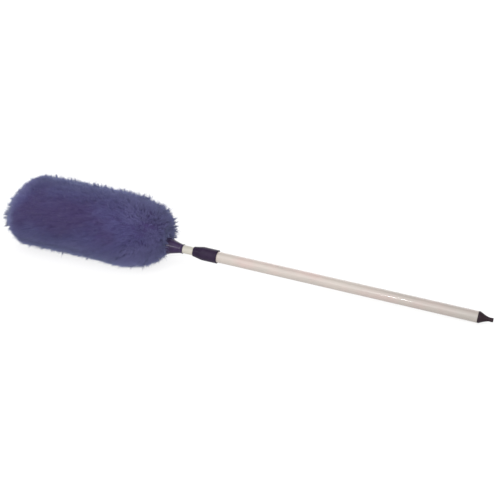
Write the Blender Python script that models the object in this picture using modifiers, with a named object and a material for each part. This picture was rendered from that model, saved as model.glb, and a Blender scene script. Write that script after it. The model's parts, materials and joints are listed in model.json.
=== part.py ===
"""Extendable lambswool duster, lying at rest on a flat surface. Blender 4.5, metres, +Z up.

The wool head is at -X and the end cap at +X. The pole slopes down from the head to the cap,
because the thick wool holds its own end up. Every piece of the pole is turned about the pole's
axis and placed by its station: the distance along that axis from the tip of the end cap.
"""

import math

import bmesh
import bpy

MM = 0.001

# Driving dimensions
TOTAL_LENGTH = 871 * MM  # wool tip to cap tip, nearly closed
EXTENSION = 330 * MM  # how far the inner tube can still be drawn out
OUTER_RADIUS, OUTER_WALL = 9.5 * MM, 0.9 * MM
INNER_RADIUS, INNER_WALL = 7.2 * MM, 0.9 * MM
CAP_LENGTH = 23.8 * MM  # the part of the cap that shows
NOSE_RADIUS = 3.3 * MM
COLLAR_BACK, COLLAR_NOSE = 464.2 * MM, 509 * MM
COLLAR_RADIUS, COLLAR_NOSE_RADIUS = 11.7 * MM, 8.5 * MM
THREAD_PITCH = 3 * MM
FERRULE_NECK, BELL_MOUTH = 528.2 * MM, 565 * MM
NECK_RADIUS, BELL_RADIUS = 8.1 * MM, 16.8 * MM
WOOL_LENGTH, WOOL_RADIUS = 313.5 * MM, 64 * MM
WOOL_HEIGHT = 62.2 * MM  # middle of the wool's axis above the surface, less than its radius
POLE_TILT, WOOL_TILT = math.radians(3.3), math.radians(2.4)
TIP_LEAN = 0.3  # how far the wool's round tip leans back at the top, for each unit of height
TIP_OVERHANG = 2.8 * MM  # how far its low side then reaches past the wool's axis

# Clearances
GAP = 0.3 * MM  # between touching pieces
GLUE_GAP = 0.2 * MM  # round a piece that is pushed or glued into another
STOP_GAP = 1 * MM  # left at the ends of a travel

# Worked out from them
OUTER_BORE = OUTER_RADIUS - OUTER_WALL
INNER_BORE = INNER_RADIUS - INNER_WALL
TUBE_MOUTH = COLLAR_BACK + 6.8 * MM
SOCKET_BORE = INNER_RADIUS + 0.25 * MM
SPIGOT_LENGTH = 12 * MM
SPIGOT_END = TUBE_MOUTH - SPIGOT_LENGTH
GLIDE_FRONT = SPIGOT_END - EXTENSION - STOP_GAP
GLIDE_LENGTH = 9.5 * MM
INNER_TUBE_START = GLIDE_FRONT + GAP + 2 * MM
INNER_TUBE_END = FERRULE_NECK + 16 * MM
CORE_START, CORE_END = INNER_TUBE_END + 2.5 * MM, TOTAL_LENGTH - 58 * MM
CORE_RADIUS = 8 * MM
PELT_START, PELT_RADIUS, PELT_WALL = BELL_MOUTH - 8 * MM, 11 * MM, 2.7 * MM
PELT_END = CORE_END + GAP + 3.2 * MM
WASHER_TOP = PELT_END + GAP + 1.6 * MM
NAIL_TOP = WASHER_TOP + GAP + 2 * MM
TACK_STATION = BELL_MOUTH + 5 * MM
TACK_SEAT = PELT_RADIUS + GAP
TACK_COUNT = 4

SIDES = 24  # of a turned piece
WOOL_SIDES = 32
SMALL_SIDES = 8  # of a tack or a nail
CURVE_STEPS = 8

COLOURS = {
    "wool": ((0.10, 0.09, 0.24), 0.95, 0),
    "hide": ((0.62, 0.52, 0.40), 0.90, 0),
    "core_wood": ((0.60, 0.43, 0.25), 0.70, 0),
    "dark_plastic": ((0.045, 0.028, 0.060), 0.35, 0),
    "grey_plastic": ((0.30, 0.30, 0.31), 0.45, 0),
    "pale_tube": ((0.70, 0.63, 0.58), 0.30, 0),
    "fastener_steel": ((0.60, 0.60, 0.62), 0.30, 1),
}


# ---- Scene helpers ----


def clear_scene():
    for obj in list(bpy.data.objects):
        bpy.data.objects.remove(obj, do_unlink=True)


def new_collection(name):
    collection = bpy.data.collections.new(name)
    bpy.context.scene.collection.children.link(collection)
    return collection


def make_material(name):
    colour, roughness, metallic = COLOURS[name]
    material = bpy.data.materials.new(name)
    material.use_nodes = True
    shader = material.node_tree.nodes["Principled BSDF"]
    shader.inputs["Base Color"].default_value = (*colour, 1)
    shader.inputs["Roughness"].default_value = roughness
    shader.inputs["Metallic"].default_value = metallic
    return material


def make_axis(name, location, tilt):
    """An empty whose local +Z points along an axis towards the head, raised by the tilt, and +X up."""
    axis = bpy.data.objects.new(name, None)
    axis.location = location
    axis.rotation_euler = (0, tilt - math.pi / 2, 0)
    parts.objects.link(axis)
    return axis


def add_object(name, mesh, parent, material=None):
    obj = bpy.data.objects.new(name, mesh)
    obj.parent = parent
    if material:
        mesh.materials.append(material)
        parts.objects.link(obj)
    else:
        obj.hide_render = True
        obj.display_type = "WIRE"
        cutters.objects.link(obj)
    return obj


def boolean(obj, operation, other):
    modifier = obj.modifiers.new(other.name, "BOOLEAN")
    modifier.operation = operation
    modifier.solver = "EXACT"
    modifier.object = other


# ---- Shape helpers ----


def turned(name, outline, parent, material=None, sides=SIDES):
    """Turns an outline of (radius, station) about the parent's Z axis.

    The outline runs down the outer side. It is open where both ends lie on the axis, and a
    closed loop where the piece has a hole right through.
    """
    mesh = bpy.data.meshes.new(name)
    points = [(radius, 0, station) for radius, station in outline]
    edges = [(i, i + 1) for i in range(len(points) - 1)]
    if outline[0][0] or outline[-1][0]:
        edges.append((len(points) - 1, 0))
    mesh.from_pydata(points, edges, [])
    obj = add_object(name, mesh, parent, material)
    screw = obj.modifiers.new("Turn", "SCREW")
    screw.steps = screw.render_steps = sides
    screw.use_merge_vertices = True
    screw.merge_threshold = 0.00001
    screw.use_smooth_shade = True
    return obj


def eased(start, end, power):
    """(radius, station) points from start to end, where the radius follows a power of the way."""
    (radius_0, station_0), (radius_1, station_1) = start, end
    points = []
    for step in range(CURVE_STEPS + 1):
        way = step / CURVE_STEPS
        radius = radius_0 + (radius_1 - radius_0) * way**power
        points.append((radius, station_0 + (station_1 - station_0) * way))
    return points


def downward(points):
    return sorted(points, key=lambda point: -point[1])


def thread_ridge(name, parent, root, crest, first_station, turns):
    """One ridge of a right-hand thread, whose root is buried in the wall that it stands on."""
    root_half, crest_half = 0.7 * MM, 0.4 * MM
    section = ((root, -root_half), (crest, -crest_half), (crest, crest_half), (root, root_half))
    shape = bmesh.new()
    rings = []
    for step in range(round(turns * SIDES) + 1):
        angle = math.tau * step / SIDES
        station = first_station + THREAD_PITCH * step / SIDES
        rings.append(
            [
                shape.verts.new((radius * math.cos(angle), radius * math.sin(angle), station + up))
                for radius, up in section
            ]
        )
    for ring, following in zip(rings, rings[1:]):
        for i in range(4):
            j = (i + 1) % 4
            shape.faces.new((ring[i], ring[j], following[j], following[i]))
    shape.faces.new(rings[0])
    shape.faces.new(rings[-1])
    bmesh.ops.recalc_face_normals(shape, faces=shape.faces)
    mesh = bpy.data.meshes.new(name)
    shape.to_mesh(mesh)
    shape.free()
    return add_object(name, mesh, parent)


def box_cutter(name, parent, low, high):
    shape = bmesh.new()
    bmesh.ops.create_cube(shape, size=1)
    for vertex in shape.verts:
        vertex.co = [
            lower if side < 0 else upper for side, lower, upper in zip(vertex.co, low, high)
        ]
    mesh = bpy.data.meshes.new(name)
    shape.to_mesh(mesh)
    shape.free()
    return add_object(name, mesh, parent)


# ---- Handle: the outer tube and what is fixed in it ----


def make_outer_tube():
    start = CAP_LENGTH + GAP
    turned(
        "outer_tube",
        [
            (OUTER_BORE, TUBE_MOUTH),
            (OUTER_RADIUS, TUBE_MOUTH),
            (OUTER_RADIUS, start),
            (OUTER_BORE, start),
        ],
        pole,
        materials["pale_tube"],
    )


def make_end_cap():
    """A hollow plug inside the tube, a rim flush with it, a hollow-sided cone and a blunt nose."""
    plug_radius, plug_bore, plug_end = OUTER_BORE - GLUE_GAP, 6.4 * MM, CAP_LENGTH + 15 * MM
    bore_floor = CAP_LENGTH + 2 * MM
    rim_bottom, cone_top = CAP_LENGTH - 1.8 * MM, CAP_LENGTH - 3 * MM
    nose_top = 6 * MM
    outline = [
        (0, bore_floor),
        (plug_bore, bore_floor),
        (plug_bore, plug_end),
        (plug_radius - 0.6 * MM, plug_end),
        (plug_radius, plug_end - 1.5 * MM),
        (plug_radius, CAP_LENGTH),
        (OUTER_RADIUS, CAP_LENGTH),
        (OUTER_RADIUS, rim_bottom),
    ]
    outline += downward(eased((NOSE_RADIUS, nose_top), (OUTER_RADIUS - 0.3 * MM, cone_top), 1.4))
    outline += [
        (NOSE_RADIUS + 0.15 * MM, 2.5 * MM),
        (NOSE_RADIUS, 0.6 * MM),
        (NOSE_RADIUS - 0.5 * MM, 0),
        (0, 0),
    ]
    turned("end_cap", outline, pole, materials["dark_plastic"])


SOCKET_RADIUS = 8.85 * MM  # the outside of the thread's root
SOCKET_THREAD_RADIUS = 9.6 * MM
SOCKET_FLANGE_TOP = TUBE_MOUTH + GAP + 1.6 * MM
SOCKET_TOP = SOCKET_FLANGE_TOP + 14 * MM
SOCKET_THREAD_START = SOCKET_FLANGE_TOP + 1.8 * MM


def make_thread_socket():
    """A bush: a spigot in the tube, a flange on its mouth, and the outside thread."""
    spigot_radius = OUTER_BORE - GLUE_GAP
    socket = turned(
        "thread_socket",
        [
            (SOCKET_BORE, SOCKET_TOP),
            (SOCKET_RADIUS, SOCKET_TOP),
            (SOCKET_RADIUS, SOCKET_FLANGE_TOP),
            (OUTER_RADIUS, SOCKET_FLANGE_TOP),
            (OUTER_RADIUS, TUBE_MOUTH + GAP),
            (spigot_radius, TUBE_MOUTH + GAP),
            (spigot_radius, SPIGOT_END),
            (SOCKET_BORE, SPIGOT_END),
        ],
        pole,
        materials["grey_plastic"],
    )
    ridge = thread_ridge(
        "socket_thread",
        pole,
        SOCKET_RADIUS - 0.4 * MM,
        SOCKET_THREAD_RADIUS,
        SOCKET_THREAD_START,
        turns=3.25,
    )
    boolean(socket, "UNION", ridge)


# ---- Twist lock: the collet and the collar that squeezes it ----

COLLAR_BORE = SOCKET_THREAD_RADIUS + GAP
COLLET_BACK = SOCKET_TOP + GAP
COLLET_SHOULDER = COLLET_BACK + 4.6 * MM
COLLET_FRONT = COLLAR_NOSE - 3.6 * MM
COLLET_BORE = INNER_RADIUS + 0.2 * MM
COLLET_SHOULDER_RADIUS, COLLET_FRONT_RADIUS = 9.1 * MM, 7.9 * MM


def make_collet():
    """A sleeve with a whole ring at the back and four tapered fingers between its slits."""
    slit_half = 0.6 * MM
    collet = turned(
        "collet",
        [
            (COLLET_BORE, COLLET_FRONT),
            (COLLET_FRONT_RADIUS, COLLET_FRONT),
            (COLLET_SHOULDER_RADIUS, COLLET_SHOULDER),
            (COLLAR_BORE - GAP, COLLET_SHOULDER),
            (COLLAR_BORE - GAP, COLLET_BACK),
            (COLLET_BORE, COLLET_BACK),
        ],
        pole,
        materials["grey_plastic"],
    )
    reach = COLLAR_RADIUS
    low, high = COLLET_SHOULDER - 1 * MM, COLLET_FRONT + 1 * MM
    for name, across_x, across_y in (
        ("collet_slit_1", reach, slit_half),
        ("collet_slit_2", slit_half, reach),
    ):
        slit = box_cutter(
            name, pole, (-across_x, -across_y, low), (across_x, across_y, high)
        )
        boolean(collet, "DIFFERENCE", slit)


def make_lock_collar():
    """A plain barrel with a lip at the back, and a tapered nose whose inside fits the collet."""
    barrel_front = COLLAR_NOSE - 17 * MM
    lip_front = COLLAR_BACK + 3.4 * MM
    cone_gap = 0.4 * MM
    collar = turned(
        "lock_collar",
        [
            (INNER_RADIUS + GAP, COLLAR_NOSE),
            (COLLAR_NOSE_RADIUS - 0.3 * MM, COLLAR_NOSE),
            (COLLAR_NOSE_RADIUS, COLLAR_NOSE - 0.6 * MM),
            (COLLAR_RADIUS - 0.2 * MM, barrel_front + 1.5 * MM),
            (COLLAR_RADIUS, barrel_front - 1.5 * MM),
            (COLLAR_RADIUS - 0.15 * MM, lip_front + 1.2 * MM),
            (COLLAR_RADIUS + 0.1 * MM, lip_front),
            (COLLAR_RADIUS + 0.1 * MM, COLLAR_BACK + 0.9 * MM),
            (COLLAR_RADIUS - 0.7 * MM, COLLAR_BACK),
            (COLLAR_BORE, COLLAR_BACK),
            (COLLAR_BORE, COLLET_SHOULDER + cone_gap),
            (COLLET_SHOULDER_RADIUS + cone_gap, COLLET_SHOULDER + cone_gap),
            (COLLET_FRONT_RADIUS + cone_gap, COLLET_FRONT + cone_gap),
            (INNER_RADIUS + GAP, COLLET_FRONT + cone_gap),
        ],
        pole,
        materials["dark_plastic"],
    )
    ridge = thread_ridge(
        "collar_thread",
        pole,
        COLLAR_BORE + 0.4 * MM,
        SOCKET_RADIUS + GAP,
        SOCKET_THREAD_START + THREAD_PITCH / 2,
        turns=1.75,
    )
    boolean(collar, "UNION", ridge)


# ---- Inner pole: the tube that slides, with its plug and glide ring ----


def make_inner_tube():
    turned(
        "inner_tube",
        [
            (INNER_BORE, INNER_TUBE_END),
            (INNER_RADIUS, INNER_TUBE_END),
            (INNER_RADIUS, INNER_TUBE_START),
            (INNER_BORE, INNER_TUBE_START),
        ],
        pole,
        materials["pale_tube"],
    )


GLIDE_NECK_RADIUS = 5 * MM
GLIDE_BACK = GLIDE_FRONT - GLIDE_LENGTH


def make_inner_plug():
    """A plug pushed into the tube's hidden end, with a neck that the glide ring sits on."""
    spigot_radius = INNER_BORE - GLUE_GAP
    turned(
        "inner_plug",
        [
            (2.5 * MM, INNER_TUBE_START + 12 * MM),
            (spigot_radius - 0.6 * MM, INNER_TUBE_START + 12 * MM),
            (spigot_radius, INNER_TUBE_START + 10.5 * MM),
            (spigot_radius, INNER_TUBE_START - GAP),
            (INNER_RADIUS, INNER_TUBE_START - GAP),
            (INNER_RADIUS, GLIDE_FRONT + GAP),
            (GLIDE_NECK_RADIUS, GLIDE_FRONT + GAP),
            (GLIDE_NECK_RADIUS, GLIDE_BACK - GAP),
            (INNER_RADIUS, GLIDE_BACK - GAP),
            (INNER_RADIUS - 0.8 * MM, GLIDE_BACK - 4 * MM),
            (2.5 * MM, GLIDE_BACK - 4 * MM),
        ],
        pole,
        materials["grey_plastic"],
    )


def make_glide_ring():
    slot_half = 0.75 * MM
    radius, bore = OUTER_BORE - 0.25 * MM, GLIDE_NECK_RADIUS + GAP
    ring = turned(
        "glide_ring",
        [(bore, GLIDE_FRONT), (radius, GLIDE_FRONT), (radius, GLIDE_BACK), (bore, GLIDE_BACK)],
        pole,
        materials["grey_plastic"],
    )
    slot = box_cutter(
        "glide_slot",
        pole,
        (0, -slot_half, GLIDE_BACK - STOP_GAP),
        (COLLAR_RADIUS, slot_half, GLIDE_FRONT + STOP_GAP),
    )
    boolean(ring, "DIFFERENCE", slot)


# ---- Head: the ferrule, the core, the pelt with its fasteners, and the wool ----


def make_ferrule():
    """A bell: a neck over the inner tube, a socket for the core, and a flared skirt."""
    tube_socket, core_socket = INNER_RADIUS + GLUE_GAP, CORE_RADIUS + GLUE_GAP
    web_bottom, web_top = INNER_TUBE_END + GAP, CORE_START - GAP
    skirt_root = PELT_START - STOP_GAP
    outline = [
        (BELL_RADIUS - 1.4 * MM, BELL_MOUTH),
        (BELL_RADIUS, BELL_MOUTH),
    ]
    outline += downward(
        eased((NECK_RADIUS, FERRULE_NECK + 4.5 * MM), (BELL_RADIUS, BELL_MOUTH - 0.5 * MM), 1.05)
    )
    outline += [
        (NECK_RADIUS, FERRULE_NECK + 2 * MM),
        (NECK_RADIUS + 0.2 * MM, FERRULE_NECK + 1.4 * MM),
        (NECK_RADIUS + 0.2 * MM, FERRULE_NECK + 0.3 * MM),
        (NECK_RADIUS, FERRULE_NECK),
        (tube_socket, FERRULE_NECK),
        (tube_socket, web_bottom),
        (3 * MM, web_bottom),
        (3 * MM, web_top),
        (core_socket, web_top),
        (core_socket, skirt_root),
        (PELT_RADIUS + GAP, skirt_root),
        (PELT_RADIUS + GAP, skirt_root + 2 * MM),
    ]
    turned("ferrule", outline, pole, materials["dark_plastic"])


def tack_hole(index, turn):
    radius, inner_end = 0.8 * MM, 4.2 * MM
    hole = turned(
        f"tack_hole_{index}",
        [(0, TACK_SEAT + 2 * MM), (radius, TACK_SEAT + 2 * MM), (radius, inner_end), (0, inner_end)],
        pole,
        sides=SMALL_SIDES,
    )
    hole.location = (0, 0, TACK_STATION)
    hole.rotation_euler = (0, math.pi / 2, turn)
    return hole


def make_tack(index, turn):
    """A flat-headed tack, turned about its own axis, which points straight out of the pelt."""
    shank, head = 0.5 * MM, 2.8 * MM
    tack = turned(
        f"pelt_tack_{index}",
        [
            (0, TACK_SEAT + 0.8 * MM),
            (head, TACK_SEAT + 0.5 * MM),
            (head, TACK_SEAT),
            (shank, TACK_SEAT),
            (shank, 6 * MM),
            (0, 4.6 * MM),
        ],
        pole,
        materials["fastener_steel"],
        sides=SMALL_SIDES,
    )
    tack.location = (0, 0, TACK_STATION)
    tack.rotation_euler = (0, math.pi / 2, turn)


def make_core_and_pelt():
    pilot = 1.3 * MM
    core = turned(
        "head_core",
        [
            (0, CORE_END - 16 * MM),
            (pilot, CORE_END - 16 * MM),
            (pilot, CORE_END),
            (CORE_RADIUS - 1 * MM, CORE_END),
            (CORE_RADIUS, CORE_END - 1 * MM),
            (CORE_RADIUS, CORE_START),
            (0, CORE_START),
        ],
        pole,
        materials["core_wood"],
    )
    pelt_bore = PELT_RADIUS - PELT_WALL
    pelt = turned(
        "pelt_sleeve",
        [
            (pilot, PELT_END),
            (PELT_RADIUS - 1 * MM, PELT_END),
            (PELT_RADIUS, PELT_END - 1 * MM),
            (PELT_RADIUS, PELT_START),
            (pelt_bore, PELT_START),
            (pelt_bore, CORE_END + GAP),
            (pilot, CORE_END + GAP),
        ],
        pole,
        materials["hide"],
    )
    for index in range(1, TACK_COUNT + 1):
        turn = math.tau * (index - 0.5) / TACK_COUNT
        hole = tack_hole(index, turn)
        boolean(core, "DIFFERENCE", hole)
        boolean(pelt, "DIFFERENCE", hole)
        make_tack(index, turn)


def make_tip_fastening():
    washer_hole, washer_radius, shank, head = 1.3 * MM, 8.5 * MM, 1 * MM, 4 * MM
    turned(
        "tip_washer",
        [
            (washer_hole, WASHER_TOP),
            (washer_radius, WASHER_TOP),
            (washer_radius, PELT_END + GAP),
            (washer_hole, PELT_END + GAP),
        ],
        pole,
        materials["fastener_steel"],
    )
    turned(
        "tip_nail",
        [
            (0, NAIL_TOP),
            (0.6 * head, NAIL_TOP - 0.4 * MM),
            (head, WASHER_TOP + GAP + 0.5 * MM),
            (head, WASHER_TOP + GAP),
            (shank, WASHER_TOP + GAP),
            (shank, CORE_END - 13 * MM),
            (0, CORE_END - 15 * MM),
        ],
        pole,
        materials["fastener_steel"],
        sides=SMALL_SIDES,
    )


def wool_outline():
    """(radius, depth) points: a round tip, a straight middle, and a full shoulder at the ferrule."""
    tip_length, shoulder_length = 61 * MM, 96 * MM
    shoulder_power, end_radius = 0.5, 19.5 * MM
    steps = 9
    outline = []
    for step in range(1, steps + 1):
        angle = math.pi / 2 * step / steps
        outline.append((WOOL_RADIUS * math.sin(angle), tip_length * (1 - math.cos(angle))))
    for step in range(steps, -1, -1):
        inward = 1 - math.cos(math.pi / 2 * step / steps)
        swell = (1 - (1 - inward) ** 2) ** shoulder_power
        radius = end_radius + (WOOL_RADIUS - end_radius) * swell
        outline.append((radius, WOOL_LENGTH - shoulder_length * inward))
    return outline


def wool_blank():
    """The pile's outside: its outline turned about the wool's axis, then leant back at the tip."""
    lean_depth = 80 * MM
    outline = wool_outline()
    points, faces = [(0, 0, 0), (0, 0, -WOOL_LENGTH)], []
    for radius, depth in outline:
        lean = TIP_LEAN * max(1 - depth / lean_depth, 0)
        for side in range(WOOL_SIDES):
            angle = math.tau * side / WOOL_SIDES
            up, across = radius * math.cos(angle), radius * math.sin(angle)
            points.append((up, across, -depth - lean * up))
    rings = [range(2 + i * WOOL_SIDES, 2 + (i + 1) * WOOL_SIDES) for i in range(len(outline))]
    for side in range(WOOL_SIDES):
        following = (side + 1) % WOOL_SIDES
        faces.append((0, rings[0][side], rings[0][following]))
        faces.append((1, rings[-1][following], rings[-1][side]))
        for ring, deeper in zip(rings, rings[1:]):
            faces.append((ring[side], deeper[side], deeper[following], ring[following]))
    mesh = bpy.data.meshes.new("wool_pile")
    mesh.from_pydata(points, [], faces)
    return add_object("wool_pile", mesh, wool_axis, materials["wool"])


def make_wool_pile():
    """The pile as one soft solid, flat where it rests, with a bore for the core, pelt and bell."""
    wool = wool_blank()
    bell_bore, tack_bore, pelt_bore = BELL_RADIUS + 0.5 * MM, 13 * MM, PELT_RADIUS + GAP
    nail_room, tack_room = NAIL_TOP + 1.5 * MM, TACK_STATION + 4.5 * MM
    bore = turned(
        "wool_bore",
        [
            (0, nail_room),
            (pelt_bore, nail_room),
            (pelt_bore, tack_room),
            (tack_bore, tack_room),
            (tack_bore, BELL_MOUTH + STOP_GAP),
            (bell_bore, BELL_MOUTH + STOP_GAP),
            (bell_bore, FERRULE_NECK),
            (0, FERRULE_NECK),
        ],
        pole,
    )
    surface = box_cutter(
        "resting_surface", None, (-TOTAL_LENGTH, -WOOL_RADIUS * 2, -WOOL_RADIUS),
        (TOTAL_LENGTH, WOOL_RADIUS * 2, 0),
    )
    boolean(wool, "DIFFERENCE", bore)
    boolean(wool, "DIFFERENCE", surface)


# ---- The duster ----

clear_scene()
parts = new_collection("lambswool_duster")
cutters = new_collection("cutters")
materials = {name: make_material(name) for name in COLOURS}

# The rim of the cap rests on the surface, and the whole length is centred on the origin.
rim_station = CAP_LENGTH - 1.8 * MM
cap_tip_x = TOTAL_LENGTH * math.cos(POLE_TILT) / 2
cap_tip_z = OUTER_RADIUS * math.cos(POLE_TILT) - rim_station * math.sin(POLE_TILT)
pole = make_axis("pole_axis", (cap_tip_x, 0, cap_tip_z), POLE_TILT)
wool_tip_z = WOOL_HEIGHT + WOOL_LENGTH / 2 * math.sin(WOOL_TILT)
wool_axis = make_axis("wool_axis", (TIP_OVERHANG - cap_tip_x, 0, wool_tip_z), WOOL_TILT)

make_outer_tube()
make_end_cap()
make_thread_socket()
make_collet()
make_lock_collar()
make_inner_tube()
make_inner_plug()
make_glide_ring()
make_ferrule()
make_core_and_pelt()
make_tip_fastening()
make_wool_pile()
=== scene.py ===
"""The looks of an extendable lambswool duster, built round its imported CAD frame. Metres, +Z up.

The wool head is at -X and the end cap at +X. The pole's pieces are turned about the pole's axis
and placed by their station: the distance along that axis from the tip of the end cap. The wool is
made of locks of fibres that root in a soft body round the core. It is placed by depth: the
distance along the wool's own axis from its round tip.
"""

import json
import math
from types import SimpleNamespace

import bpy
import numpy as np
from mathutils import Matrix, Vector


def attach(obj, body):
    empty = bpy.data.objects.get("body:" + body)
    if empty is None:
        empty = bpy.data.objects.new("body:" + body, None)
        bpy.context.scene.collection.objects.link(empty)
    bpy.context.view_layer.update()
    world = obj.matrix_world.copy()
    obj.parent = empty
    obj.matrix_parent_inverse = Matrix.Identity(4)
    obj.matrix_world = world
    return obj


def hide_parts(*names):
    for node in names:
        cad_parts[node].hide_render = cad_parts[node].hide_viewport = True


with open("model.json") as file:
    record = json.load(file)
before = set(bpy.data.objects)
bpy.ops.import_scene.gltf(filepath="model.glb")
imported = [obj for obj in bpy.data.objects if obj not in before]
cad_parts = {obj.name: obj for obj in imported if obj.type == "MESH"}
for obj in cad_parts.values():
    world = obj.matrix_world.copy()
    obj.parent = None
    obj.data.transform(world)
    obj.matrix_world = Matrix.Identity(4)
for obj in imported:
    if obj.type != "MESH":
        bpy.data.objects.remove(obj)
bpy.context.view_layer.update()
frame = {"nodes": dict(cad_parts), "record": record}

MM = 0.001

# Dimensions of the CAD model that the finer pieces keep
POLE_TILT, WOOL_TILT = math.radians(3.3), math.radians(2.4)
OUTER_RADIUS, OUTER_BORE = 9.5 * MM, 8.6 * MM
INNER_RADIUS, INNER_BORE = 7.2 * MM, 6.3 * MM
CAP_LENGTH, CAP_NOSE_RADIUS = 23.8 * MM, 3.3 * MM
TUBE_START, TUBE_MOUTH = 24.1 * MM, 471 * MM
PAINTED_SHADE_LENGTH = 340 * MM  # of the tubes, from the end cap, over which a painted shade darkens them towards the cap
COLLAR_BACK, COLLAR_NOSE = 464.2 * MM, 509 * MM
COLLAR_RADIUS, COLLAR_NOSE_RADIUS, COLLAR_BORE = 11.7 * MM, 8.5 * MM, 9.9 * MM
INNER_TUBE_START, INNER_TUBE_END = 130.3 * MM, 544.2 * MM
FERRULE_NECK, BELL_MOUTH = 528.2 * MM, 565 * MM
NECK_RADIUS, BELL_RADIUS = 8.1 * MM, 16.8 * MM
WOOL_LENGTH, WOOL_RADIUS, WOOL_HEIGHT = 313.5 * MM, 64 * MM, 62.2 * MM
TIP_LENGTH, SHOULDER_LENGTH, SHOULDER_POWER, END_RADIUS = 61 * MM, 96 * MM, 0.5, 19.5 * MM
TIP_LEAN, LEAN_DEPTH, TIP_OVERHANG = 0.3, 80 * MM, 2.8 * MM
END_LEAN = 0.11  # of the wool's handle end, which the CAD solid doesn't have
WOOL_BORE_RADIUS = 17.3 * MM

# The photo's view: degrees from -Y towards +X and up, and how far the middle is off the centre
CAMERA_AZIMUTH, CAMERA_ELEVATION = 20.51, 27.12
CAMERA_DISTANCE, CAMERA_RIGHT, CAMERA_UP = 1.5426, 0.0277, 0.0476
LENS, SENSOR_WIDTH = 64.8, 36  # millimetres
FLOOR_REACH = 8  # each way from the middle

SIDES = 72  # of a turned piece
SEED = 41

# ---- Places ----

cap_mount = next(m for m in frame["record"]["mounts"] if m["name"] == "cap_tip_face")
CAP_TIP = Vector(cap_mount["pos_m"])
POLE_FRAME = Matrix.Translation(CAP_TIP) @ Matrix.Rotation(POLE_TILT - math.pi / 2, 4, "Y")
WOOL_TIP = Vector(
    (TIP_OVERHANG - CAP_TIP.x, 0, WOOL_HEIGHT + WOOL_LENGTH / 2 * math.sin(WOOL_TILT))
)


# ---- Nodes of a material ----


class Look:
    """A material, with short calls that add nodes to it and join them to its shader."""

    def __init__(self, name, **settings):
        self.material = bpy.data.materials.new(name)
        self.material.use_nodes = True
        self.tree = self.material.node_tree
        self.shader = self.tree.nodes["Principled BSDF"]
        for socket, value in settings.items():
            self.shader.inputs[socket.replace("_", " ")].default_value = value

    def node(self, kind, inputs=None, **properties):
        made = self.tree.nodes.new("ShaderNode" + kind)
        for name, value in properties.items():
            setattr(made, name, value)
        for socket, value in (inputs or {}).items():
            self.feed(made.inputs[socket], value)
        return made

    def feed(self, socket, value):
        if isinstance(value, bpy.types.NodeSocket):
            self.tree.links.new(value, socket)
        else:
            socket.default_value = value

    def place(self, size, along_pole=True):
        """Coordinates where one unit is size metres: across, sideways and along the pole."""
        at = self.node("TexCoord").outputs["Object"]
        turn = POLE_FRAME.to_euler() if along_pole else (0, 0, 0)
        inputs = {"Vector": at, "Location": CAP_TIP, "Rotation": turn, "Scale": size}
        return self.node("Mapping", inputs, vector_type="TEXTURE").outputs["Vector"]

    def on_pole(self, axis):
        """The distance in metres along the pole's own X, Y or Z; Z is the station."""
        place = self.place((1.0, 1.0, 1.0))
        return self.node("SeparateXYZ", {"Vector": place}).outputs[axis]

    def noise(self, size, detail=3, roughness=0.5, along_pole=True):
        """Noise from 0 to 1 with features of about that size, one length or one for each way."""
        size = (size,) * 3 if isinstance(size, float) else size
        inputs = {
            "Vector": self.place(size, along_pole),
            "Scale": 1.0,
            "Detail": detail,
            "Roughness": roughness,
        }
        return self.node("TexNoise", inputs).outputs["Fac"]

    def span(self, value, low, high, start=0.0, end=1.0):
        """Goes smoothly from start to end while the value goes from low to high."""
        inputs = {"Value": value, "From Min": low, "From Max": high, "To Min": start, "To Max": end}
        made = self.node("MapRange", inputs, interpolation_type="SMOOTHSTEP")
        return made.outputs["Result"]

    def math(self, operation, first, second=0.0):
        made = self.node("Math", operation=operation)
        self.feed(made.inputs[0], first)
        self.feed(made.inputs[1], second)
        return made.outputs["Value"]

    def mix(self, share, first, second):
        """Goes from the first colour to the second as share goes from 0 to 1."""
        made = self.node("Mix", data_type="RGBA")
        for index, value in ((0, share), (6, first), (7, second)):
            self.feed(made.inputs[index], (*value, 1) if isinstance(value, tuple) else value)
        return made.outputs[2]

    def attribute(self, name):
        return self.node("Attribute", attribute_name=name).outputs["Fac"]

    def finish(self, colour, roughness, bump=None, height=0.1 * MM):
        """Joins the colour, the roughness and a bump that is height metres high where it is 1."""
        self.feed(self.shader.inputs["Base Color"], colour)
        self.feed(self.shader.inputs["Roughness"], roughness)
        if bump is not None:
            inputs = {"Height": bump, "Distance": height, "Strength": 1.0}
            made = self.node("Bump", inputs)
            self.feed(self.shader.inputs["Normal"], made.outputs["Normal"])
        return self.material


# ---- Materials ----


def tube_look(name, pale, pink, grey, gloss):
    """Painted tube: mottling, rub marks along the pole, worn ends, and a painted shade that darkens
    it towards the end cap.
    """
    look = Look(name, Coat_Weight=gloss, Coat_Roughness=0.07, Specular_IOR_Level=0.3)
    mottle = look.noise((22 * MM, 22 * MM, 34 * MM), detail=4)
    colour = look.mix(look.span(mottle, 0.35, 0.7, end=0.55), pale, pink)
    shade = look.noise((14 * MM, 14 * MM, 60 * MM), detail=3)
    colour = look.mix(look.span(shade, 0.45, 0.75, end=0.5), colour, grey)
    rub = look.noise((0.5 * MM, 0.5 * MM, 45 * MM), detail=2)
    colour = look.mix(look.span(rub, 0.55, 0.8, end=0.12), colour, grey)
    worn = look.math("MULTIPLY", look.attribute("wear"), look.span(mottle, 0.3, 0.6))
    colour = look.mix(look.math("MULTIPLY", worn, 0.5), colour, grey)
    # Painted shade: darker towards the end cap, as if less light falls there
    painted_shade = look.span(look.on_pole("Z"), 0.0, PAINTED_SHADE_LENGTH, 0.45, 0.0)
    colour = look.mix(painted_shade, colour, tuple(0.66 * channel for channel in grey))
    roughness = look.span(rub, 0.3, 0.8, 0.26, 0.42)
    grain = look.noise((0.35 * MM, 0.35 * MM, 3 * MM), detail=2)
    return look.finish(colour, roughness, grain, 0.012 * MM)


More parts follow.
